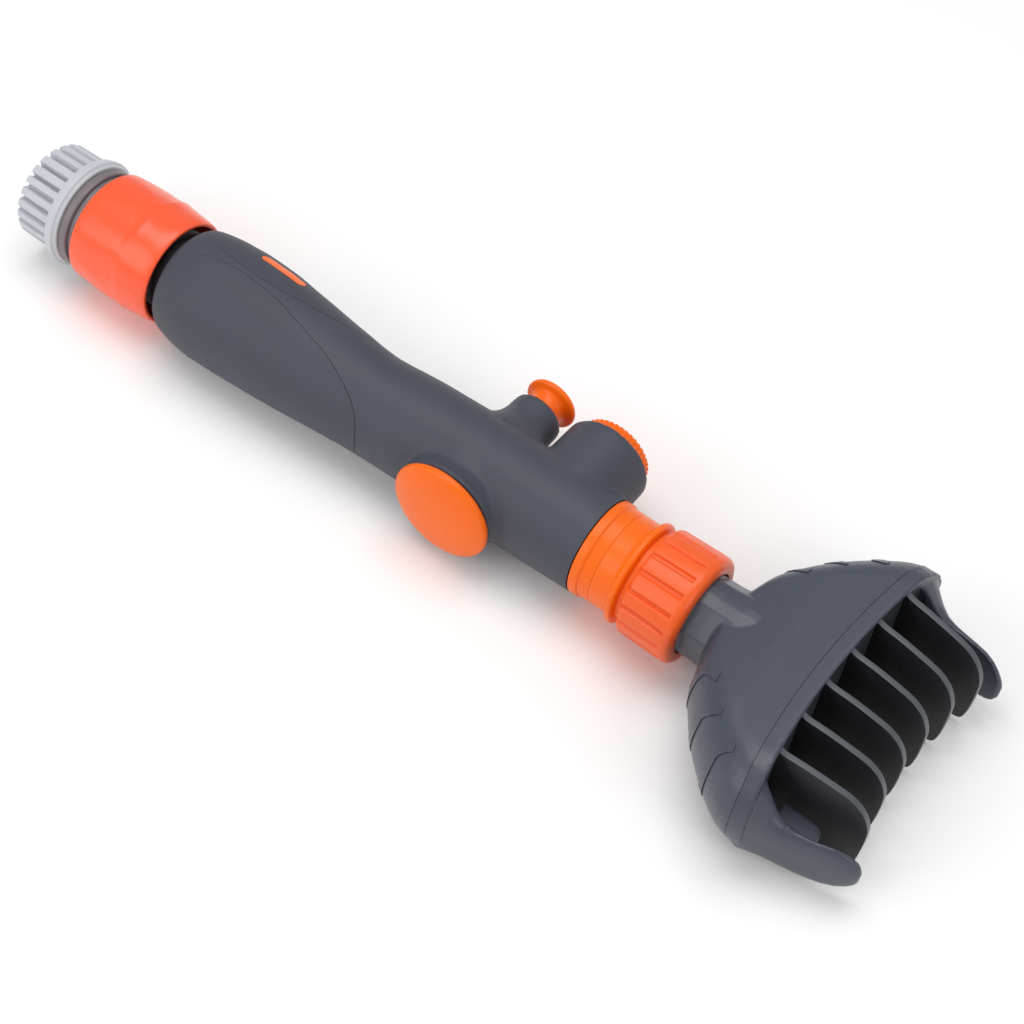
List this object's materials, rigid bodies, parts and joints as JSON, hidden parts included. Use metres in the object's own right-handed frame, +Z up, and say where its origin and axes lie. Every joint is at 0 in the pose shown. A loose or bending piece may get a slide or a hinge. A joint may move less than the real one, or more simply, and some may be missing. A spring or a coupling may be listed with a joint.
{
  "type": "hand-held filter cleaning wand",
  "caption": "Hose-fed hand wand with a quick connector, push valve, flow regulator and a swivelling comb head that rinses filter pleats.",
  "frame": {"origin": "centre of the hose tail's open end, on the wand's axis", "axes": "+X along the wand from the hose tail to the comb head, +Z up out of the head's flat top, the push button faces -Y"},
  "size_m": [0.316, 0.1, 0.0382],
  "materials": {
    "light_grey": "fine satin moulding",
    "seal": "smooth",
    "red_orange": "polished moulding",
    "steel": "drawn wire",
    "black_plastic": "satin moulding",
    "soft_grey": "soft matt overmould",
    "orange": "polished moulding",
    "brass": "turned",
    "red_orange_nut": "polished moulding",
    "head_grey": "satin gloss moulding",
    "head_dark": "satin gloss moulding"
  },
  "bodies": {
    "handle": {"inlet_spigot": "black_plastic", "spigot_o_ring": "seal", "handle_core": "black_plastic", "grip_shell": "soft_grey", "palm_pad": "soft_grey", "far_palm_pad": "soft_grey", "top_inlay": "orange", "guide_bush": "black_plastic", "regulator_seat": "brass", "front_collar": "orange", "outlet_nipple": "orange", "union_washer": "seal"},
    "connector": {"connector_body": "light_grey", "connector_seal": "seal", "hose_collet": "light_grey", "sleeve_spring": "steel"},
    "hose_nut": {"hose_nut": "light_grey"},
    "sleeve": {"release_sleeve": "red_orange"},
    "claw_1": {"lock_claw_1": "light_grey"},
    "claw_2": {"lock_claw_2": "light_grey"},
    "claw_3": {"lock_claw_3": "light_grey"},
    "valve": {"push_button": "orange", "valve_spool": "black_plastic", "spool_seals": "seal", "push_knob": "orange"},
    "regulator": {"regulator_cap": "orange", "regulator_spindle": "brass", "regulator_seal": "seal"},
    "union_nut": {"union_nut": "red_orange_nut"},
    "head": {"head_rear_shell": "head_grey", "comb_frame": "head_grey", "nozzle_plate": "head_grey", "head_gasket": "seal", "comb_fins": "head_dark"}
  },
  "joints": [
    {"name": "connector_spin", "type": "hinge", "parent": "handle", "child": "connector", "pos_m": [0.04, 0, 0], "axis": [1, 0, 0], "continuous": true},
    {"name": "hose_nut_turn", "type": "hinge", "parent": "connector", "child": "hose_nut", "pos_m": [0.008, 0, 0], "axis": [1, 0, 0], "continuous": true},
    {"name": "sleeve_slide", "type": "slide", "parent": "connector", "child": "sleeve", "axis": [-1, 0, 0], "range_m": [0, 0.004], "stiffness_N_per_m": 1200, "springref_m": -0.004, "deforming": ["sleeve_spring"]},
    {"name": "claw_1_lift", "type": "slide", "parent": "connector", "child": "claw_1", "axis": [0, 0, 1], "range_m": [0, 0.0011]},
    {"name": "claw_2_lift", "type": "slide", "parent": "connector", "child": "claw_2", "axis": [0, -0.866, -0.5], "range_m": [0, 0.0011]},
    {"name": "claw_3_lift", "type": "slide", "parent": "connector", "child": "claw_3", "axis": [0, 0.866, -0.5], "range_m": [0, 0.0011]},
    {"name": "valve_slide", "type": "slide", "parent": "handle", "child": "valve", "axis": [0, -1, 0], "range_m": [0, 0.005]},
    {"name": "regulator_turn", "type": "hinge", "parent": "handle", "child": "regulator", "pos_m": [0.1906, 0.02, 0], "axis": [0, 1, 0], "range_deg": [0, 270]},
    {"name": "union_nut_turn", "type": "hinge", "parent": "handle", "child": "union_nut", "pos_m": [0.232, 0, 0], "axis": [1, 0, 0], "continuous": true},
    {"name": "head_swivel", "type": "hinge", "parent": "handle", "child": "head", "pos_m": [0.24, 0, 0], "axis": [1, 0, 0], "continuous": true}
  ],
  "couplings": [
    {"joint": "claw_1_lift", "follows": "sleeve_slide", "ratio": 0.275},
    {"joint": "claw_2_lift", "follows": "sleeve_slide", "ratio": 0.275},
    {"joint": "claw_3_lift", "follows": "sleeve_slide", "ratio": 0.275}
  ]
}
